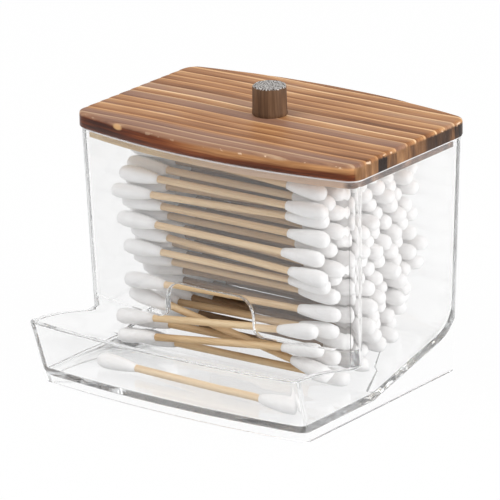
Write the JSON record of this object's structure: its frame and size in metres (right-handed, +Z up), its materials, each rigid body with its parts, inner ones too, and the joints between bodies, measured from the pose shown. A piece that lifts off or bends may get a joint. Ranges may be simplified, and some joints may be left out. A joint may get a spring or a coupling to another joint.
{
  "type": "cotton swab holder",
  "caption": "Clear box of cotton swabs with a sloping floor, an arched notch over a catch tray in front, and a burnt wooden lid with a knob.",
  "frame": {"origin": "on the ground under the middle of the whole object's box", "axes": "+X along the long front wall, -Y out of the front over the tray, +Z up"},
  "size_m": [0.101, 0.093, 0.0864],
  "materials": {
    "clear_plastic": "clear, polished",
    "burnt_wood": "burnt and wire-brushed, oiled",
    "pale_wood": "plain, sanded",
    "dark_wood": "burnt, grain upright",
    "stick_wood": "raw, smooth",
    "cotton": "soft wound cotton",
    "screw_steel": "zinc plated"
  },
  "bodies": {
    "holder": {"clear_box": "clear_plastic", "swab_sticks_01": "stick_wood", "swab_sticks_02": "stick_wood", "swab_sticks_03": "stick_wood", "swab_sticks_04": "stick_wood", "swab_sticks_05": "stick_wood", "swab_sticks_06": "stick_wood", "swab_sticks_07": "stick_wood", "swab_sticks_08": "stick_wood", "swab_sticks_09": "stick_wood", "swab_sticks_10": "stick_wood", "swab_sticks_11": "stick_wood", "swab_sticks_12": "stick_wood", "swab_tips_01": "cotton", "swab_tips_02": "cotton", "swab_tips_03": "cotton", "swab_tips_04": "cotton", "swab_tips_05": "cotton", "swab_tips_06": "cotton", "swab_tips_07": "cotton", "swab_tips_08": "cotton", "swab_tips_09": "cotton", "swab_tips_10": "cotton", "swab_tips_11": "cotton", "swab_tips_12": "cotton", "loose_swab_sticks": "stick_wood", "loose_swab_tips": "cotton"},
    "lid": {"lid_board": "burnt_wood", "lid_inner_panel": "pale_wood", "knob": "dark_wood", "knob_screw": "screw_steel"}
  },
  "joints": [
    {"name": "lid_lift", "type": "slide", "parent": "holder", "child": "lid", "axis": [0, 0, 1], "range_m": [0, 0.08]}
  ]
}
